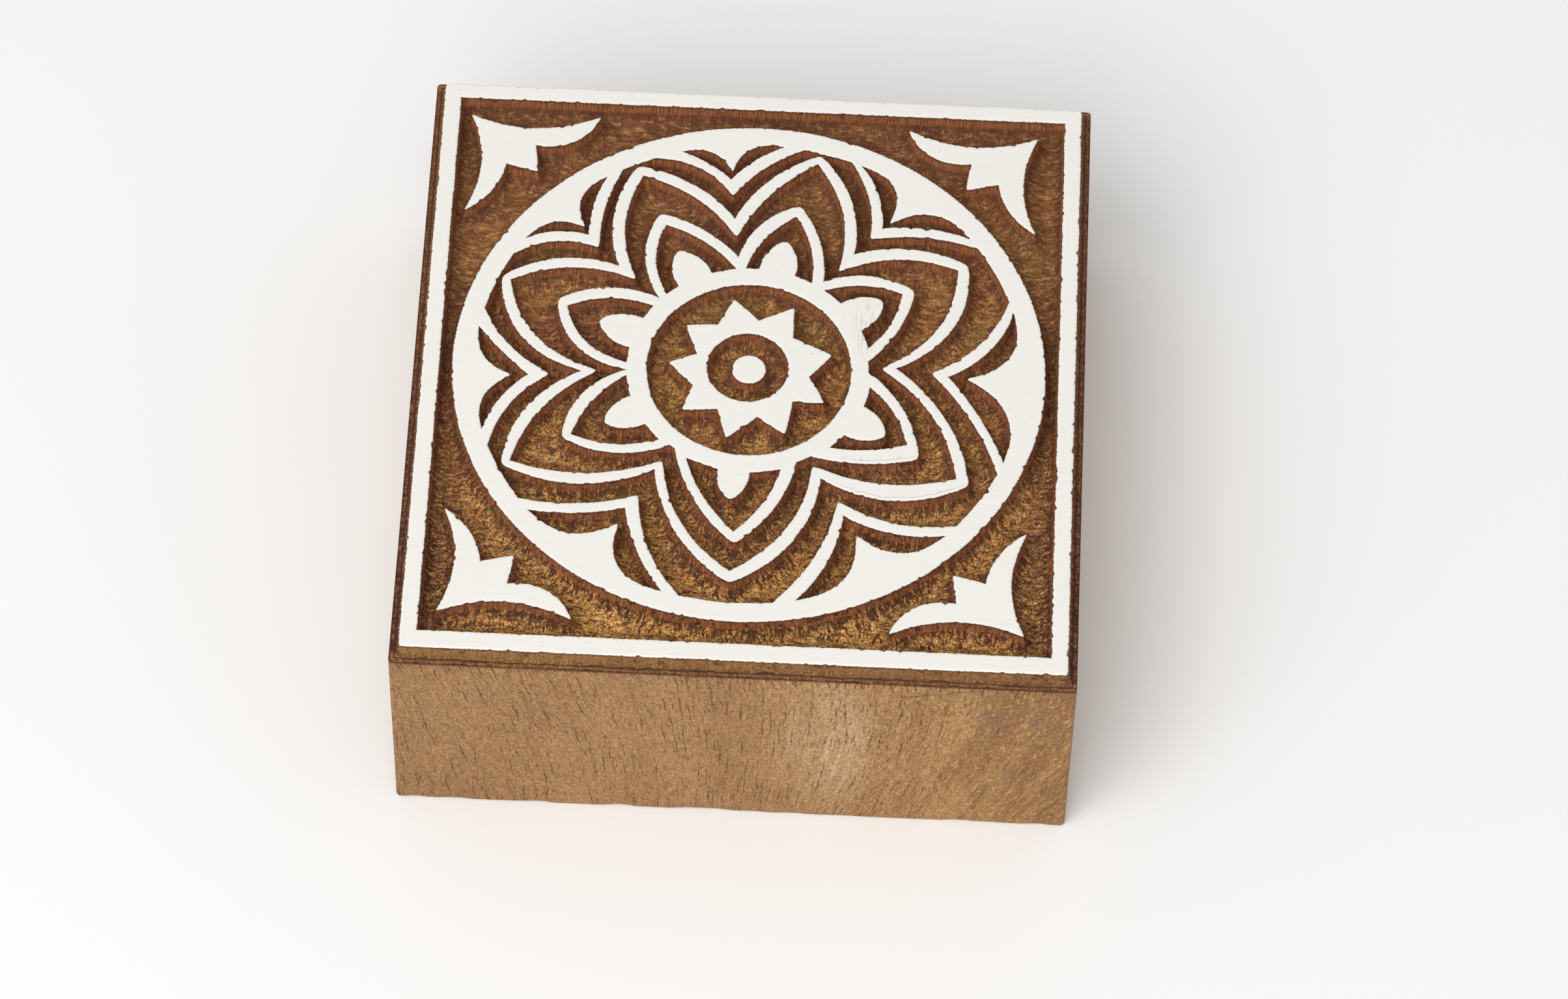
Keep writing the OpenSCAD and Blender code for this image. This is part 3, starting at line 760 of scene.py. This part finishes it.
def brushedWhite():  # white ground colour brushed on thin: matt, faint brush streaks, timber at the cut edge
    colours = coatColours
    material, tree = newMaterial("white ground colour, brushed")
    place = millimetres(tree)
    axes = put(tree, "SeparateXYZ", [place]).outputs
    gap = put(tree, "Attribute", attribute_name="gap").outputs["Fac"]
    southward = put(tree, "Attribute", attribute_name="southward").outputs["Fac"]
    streaks = grainPattern(tree, place, (0.35, 2.2, 0.5), 4.0)
    thin = put(tree, "MapRange", [streaks, 0.55, 0.75, 0.0, 0.25])

    rubbed = grainPattern(tree, place, (7.0, 0.45, 1.0), 2.0)
    rubbed = put(tree, "MapRange", [rubbed, 0.53, 0.66, 0.0, 0.9])
    reach = reachOf(tree, place, coatMarks["scuffs"])
    scuff = put(tree, "MapRange", [reach, 0.5, 1.1, 1.0, 0.0])
    scuff = put(tree, "Math", [scuff, rubbed], operation="MULTIPLY")

    waver = put(tree, "TexNoise", {"Vector": place, "Scale": 1 / coatMarks["waver"], "Detail": 2.0})
    crest = put(tree, "Math", [waver, -0.4, gap], operation="MULTIPLY_ADD")
    crest = put(tree, "Math", [crest, coatMarks["crest"]], operation="SUBTRACT")
    crest = put(tree, "Math", [crest], operation="ABSOLUTE")
    ridge = put(tree, "MapRange", [crest, 0.02, 0.06, 0.8, 0.0])
    south = put(tree, "MapRange", [southward, 0.35, 0.7, 0.0, 1.0])
    reach = reachOf(tree, place, coatMarks["ridges"])
    near = put(tree, "MapRange", [reach, 0.8, 1.1, 1.0, 0.0])
    ridge = put(tree, "Math", [ridge, south], operation="MULTIPLY")
    ridge = put(tree, "Math", [ridge, near], operation="MULTIPLY")

    dots = put(tree, "TexVoronoi", {"Vector": place, "Scale": 1 / coatMarks["pinholes"]},
               voronoi_dimensions="2D").outputs
    pinhole = put(tree, "MapRange", [dots["Distance"], 0.01, 0.026, 0.8, 0.0])
    some = put(tree, "SeparateColor", [dots["Color"]])
    some = put(tree, "Math", [some, 0.88], operation="GREATER_THAN")
    pinhole = put(tree, "Math", [pinhole, some], operation="MULTIPLY")
    edgeLow, edgeHigh = (timberTop + height for height in coatMarks["edge"])
    edge = put(tree, "MapRange", [axes["Z"], edgeLow, edgeHigh, 0.9, 0.0])
    skin = paint(colours["white"])
    layers = [(thin, "streak"), (scuff, "scuff"), (ridge, "ridge"), (pinhole, "pinhole"), (edge, "stain")]
    for share, tone in layers:
        skin = put(tree, "Mix", {0: share, 6: skin, 7: paint(colours[tone])}, data_type="RGBA")
    height = put(tree, "Math", [streaks, ridge], operation="ADD")
    closeMaterial(tree, skin, height, coatFinish)
    return material


endGrain = chiselledEndGrain()
longGrain = sawnLongGrain()
backGrain = sawnEndGrain()
whiteCoat = brushedWhite()
print("materials:", *(material.name for material in (endGrain, longGrain, backGrain, whiteCoat)), sep="\n  ")


# Geometry Nodes trees
def newTree(name, inputs):  # a node tree that takes a mesh and named inputs
    tree = bpy.data.node_groups.new(name, "GeometryNodeTree")
    tree.interface.new_socket("Mesh", in_out="INPUT", socket_type="NodeSocketGeometry")
    tree.interface.new_socket("Mesh", in_out="OUTPUT", socket_type="NodeSocketGeometry")
    for label, kind in inputs.items():
        tree.interface.new_socket(label, in_out="INPUT", socket_type="NodeSocket" + kind)
    return tree, put(tree, "NodeGroupInput").outputs


def runTree(obj, tree, values):  # runs a tree on an object and keeps what it makes as a plain mesh
    modifier = obj.modifiers.new(tree.name, "NODES")
    modifier.node_group = tree
    for item in tree.interface.items_tree:
        if item.in_out == "INPUT" and item.name in values:
            modifier[item.identifier] = values[item.name]
    sketch = obj.data
    made = bpy.data.meshes.new_from_object(obj.evaluated_get(bpy.context.evaluated_depsgraph_get()))
    obj.modifiers.clear()
    obj.data = made
    bpy.data.meshes.remove(sketch)


def chiselTree():  # a floor left uneven by the gouge, with chisel strokes running off every cut line
    tree, given = newTree("chiselled ground", {
        "Stroke Spacing": "Float", "Stroke Length": "Float", "Stroke Depth": "Float", "Gouge Size": "Float",
        "Gouge Depth": "Float", "Ground": "Material", "Sides": "Material", "Back": "Material"})
    gap = put(tree, "GeometryNodeInputNamedAttribute", {"Name": "gap"}, data_type="FLOAT")
    along = put(tree, "GeometryNodeInputNamedAttribute", {"Name": "along"}, data_type="FLOAT")
    comb = inCells(tree, along, gap, given["Stroke Spacing"], given["Stroke Length"])
    comb = put(tree, "TexNoise", {"Vector": comb, "Scale": 1.0, "Detail": 2.0}, noise_dimensions="2D")
    struck = put(tree, "MapRange", [comb, 0.34, 0.6, 1.0, 0.0])
    ends = put(tree, "MapRange", [gap, 0.7, 2.2, 1.0, 0.1])
    struck = put(tree, "Math", [struck, ends], operation="MULTIPLY")
    size = put(tree, "Math", [1.0, given["Gouge Size"]], operation="DIVIDE")
    rough = put(tree, "TexNoise", {"Scale": size, "Detail": 2.0})
    rough = put(tree, "Math", [rough, given["Gouge Depth"]], operation="MULTIPLY")
    deep = put(tree, "Math", [struck, given["Stroke Depth"], rough], operation="MULTIPLY_ADD")
    onFloor = put(tree, "MapRange", [gap, 0.15, 0.5, 0.0, -1.0])
    lower = put(tree, "Math", [deep, onFloor], operation="MULTIPLY")
    drop = put(tree, "CombineXYZ", {2: lower})
    inTop = put(tree, "FunctionNodeCompare", [gap, timber["offTop"] - 1], operation="LESS_THAN")
    cut = put(tree, "GeometryNodeSetPosition", {0: given["Mesh"], "Selection": inTop, "Offset": drop})
    cut = put(tree, "GeometryNodeRealizeInstances", [cut])
    dressed = put(tree, "GeometryNodeSetMaterial", {"Geometry": cut, "Material": given["Sides"]})
    for label, material in (("carved", "Ground"), ("back", "Back")):
        chosen = put(tree, "GeometryNodeInputNamedAttribute", {"Name": label}, data_type="BOOLEAN")
        dressed = put(tree, "GeometryNodeSetMaterial", {"Geometry": dressed, "Selection": chosen,
                                                        "Material": given[material]})
    put(tree, "NodeGroupOutput", [dressed])
    return tree


def coatTree():  # a flat sheet raised to the coat's thickness, with a rounded lip and low brush ridges
    tree, given = newTree("brushed coat", {
        "Thickness": "Float", "Lip": "Float", "Ridge Size": "Float", "Ridge Depth": "Float",
        "White": "Material"})
    raised = put(tree, "GeometryNodeExtrudeMesh", {"Mesh": given["Mesh"], "Offset": (0, 0, 1),
                                                   "Offset Scale": given["Thickness"], "Individual": False})
    gap = put(tree, "GeometryNodeInputNamedAttribute", {"Name": "gap"}, data_type="FLOAT")
    lip = put(tree, "MapRange", [gap, 0.0, given["Lip"], 0.4, 0.0], interpolation_type="SMOOTHERSTEP")
    place = put(tree, "GeometryNodeInputPosition")
    brush = put(tree, "VectorMath", [place, (0.25, 1.0, 1.0)], operation="MULTIPLY")
    size = put(tree, "Math", [1.0, given["Ridge Size"]], operation="DIVIDE")
    ridge = put(tree, "TexNoise", {"Vector": brush, "Scale": size, "Detail": 2.0})
    low = put(tree, "Math", [ridge, given["Ridge Depth"]], operation="MULTIPLY")
    low = put(tree, "Math", [lip, given["Thickness"], low], operation="MULTIPLY_ADD")
    down = put(tree, "Math", [low, -1.0], operation="MULTIPLY")
    drop = put(tree, "CombineXYZ", {2: down})
    top = put(tree, "GeometryNodeSetPosition", {"Geometry": raised.outputs["Mesh"],
                                                "Selection": raised.outputs["Top"], "Offset": drop})
    base = put(tree, "GeometryNodeFlipFaces", [given["Mesh"]])
    both = put(tree, "GeometryNodeJoinGeometry", [top])
    tree.links.new(base.outputs[0], both.inputs[0])
    closed = put(tree, "GeometryNodeMergeByDistance", {"Geometry": both, "Distance": 0.001 * mm})
    real = put(tree, "GeometryNodeRealizeInstances", [closed])
    white = put(tree, "GeometryNodeSetMaterial", {"Geometry": real, "Material": given["White"]})
    put(tree, "NodeGroupOutput", [white])
    return tree


strokes = {"spacing": 0.6, "length": 1.6, "depth": 0.08}  # chisel strokes cut into the ground off each line
gouge = {"size": 1.8, "depth": 0.25}  # hollows that the gouge left over the whole floor

runTree(carvedBlock, chiselTree(), {
    "Stroke Spacing": strokes["spacing"], "Stroke Length": strokes["length"],  # in mm, as the attributes are
    "Stroke Depth": strokes["depth"] * mm, "Gouge Size": gouge["size"] * mm,
    "Gouge Depth": gouge["depth"] * mm, "Ground": endGrain, "Sides": longGrain, "Back": backGrain})
carvedBlock.data.shade_smooth()
carvedBlock.data.set_sharp_from_angle(angle=math.radians(50))
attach(carvedBlock, "root")
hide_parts("carved_block")
print("block ground cut:", len(carvedBlock.data.polygons))


coatSheet = {
    "rows": [(0.05, 1), (0.11, 1), (0.22, 2), (0.45, 2)],  # gap inside a cut line, every nth point
    "fillSpacing": 0.7,
    "fillClear": 0.7,
    "seed": 23,
    "lip": 0.09,           # width of the rounded lip
    "ridgeSize": 0.6,      # brush ridges
    "ridgeDepth": 0.015,
}


def coatPiece(name, tree):
    lines = cutLines[name]
    ownTree = ribbonTree(lines)
    low, high = (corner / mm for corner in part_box(name))
    fill = scatter(low, high, coatSheet["fillSpacing"], coatSheet["seed"])
    flat, triangles = flatSheet(lines, [], ownTree, coatSheet["rows"], -1, fill, coatSheet["fillClear"])
    inside = [t for t, owners in triangles if owners % 2]
    used = sorted({i for t in inside for i in t})
    renumber = {old: new for new, old in enumerate(used)}
    verts = np.column_stack([flat[used], np.full(len(used), timberTop)]) * mm
    mesh = bpy.data.meshes.new(name)
    mesh.from_pydata(verts.tolist(), [], [[renumber[i] for i in t] for t in inside])
    hits = [ownTree.find_nearest((x, y, 0)) for x, y in flat[used]]
    gaps = np.array([hit[3] for hit in hits], np.float32)
    south = (flat[used][:, 1] - [hit[0].y for hit in hits]) / np.maximum(gaps, 0.01)
    for label, values in (("gap", gaps), ("southward", south.astype(np.float32))):
        mesh.attributes.new(label, "FLOAT", "POINT").data.foreach_set("value", values)
    obj = addObject(name.title().replace("_", ""), mesh)
    runTree(obj, tree, {
        "Thickness": (high.z - low.z) * mm, "Lip": coatSheet["lip"],  # the lip in mm, as the gap is
        "Ridge Size": coatSheet["ridgeSize"] * mm, "Ridge Depth": coatSheet["ridgeDepth"] * mm,
        "White": whiteCoat})
    obj.data.shade_smooth()
    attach(obj, "root")
    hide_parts(name)
    return obj


brushCoat = coatTree()
coats = [coatPiece(name, brushCoat) for name in coatNodes]
print("coat faces:", sum(len(coat.data.polygons) for coat in coats))


# Stage: pale floor, soft light, camera at the photograph's angle
studio = {
    "floorSize": 6.0,             # metres
    "floorColour": "#fbfbfa",
    "skyFill": 0.5,               # light that the sky gives
    "skySeen": 0.95,              # and how bright the camera sees it
    "boxPlace": (-0.3, -0.6, 0.9),
    "boxSize": 0.9,
    "boxPower": 8.9,
}

floorMesh = bpy.data.meshes.new("floor")
half = studio["floorSize"] / 2
floorCorners = [(-half, -half, 0), (half, -half, 0), (half, half, 0), (-half, half, 0)]
floorMesh.from_pydata(floorCorners, [], [(0, 1, 2, 3)])
floorMaterial, floorTree = newMaterial("matt white paper")  # plain, so that only the shadow shows on it
floorShader = put(floorTree, "BsdfDiffuse", {"Color": paint(studio["floorColour"])})
put(floorTree, "OutputMaterial", {"Surface": floorShader})
floorMesh.materials.append(floorMaterial)
floor = addObject("floor", floorMesh)

softbox = bpy.data.lights.new("softbox", "AREA")
softbox.size = studio["boxSize"]
softbox.energy = studio["boxPower"]
lamp = addObject("softbox", softbox)
lamp.location = studio["boxPlace"]
lamp.rotation_euler = (-Vector(studio["boxPlace"])).to_track_quat("-Z", "Y").to_euler()

world = bpy.data.worlds.new("studio")
world.use_nodes = True
sky = world.node_tree
sky.nodes.clear()
rays = put(sky, "LightPath").outputs
seen = put(sky, "Math", [rays["Is Camera Ray"], rays["Is Glossy Ray"]], operation="ADD")
seen = put(sky, "Math", [seen, rays["Is Transmission Ray"]], operation="ADD", use_clamp=True)
level = put(sky, "MapRange", {0: seen, 3: studio["skyFill"], 4: studio["skySeen"]})
glow = put(sky, "Background", {"Color": (1, 1, 1, 1), "Strength": level})
put(sky, "OutputWorld", {"Surface": glow})
scene.world = world

view = {
    "place": (12.68, -437.8, 687.39),   # where the photograph was taken from, solved from the border
    "aim": (4.51, -6.89, 15.5),
    "roll": 1.63,                       # degrees
    "lens": 160.45,
    "sensor": 36.0,
}
cameraData = bpy.data.cameras.new("camera")
cameraData.lens = view["lens"]
cameraData.sensor_width = view["sensor"]
cameraData.clip_start = 0.01
camera = addObject("camera", cameraData)
camera.location = Vector(view["place"]) * mm
aim = (Vector(view["aim"]) - Vector(view["place"])).to_track_quat("-Z", "Y")
camera.rotation_euler = (aim @ Quaternion((0, 0, 1), math.radians(view["roll"]))).to_euler()
scene.camera = camera
scene.view_settings.view_transform = "Standard"

print("stage set")
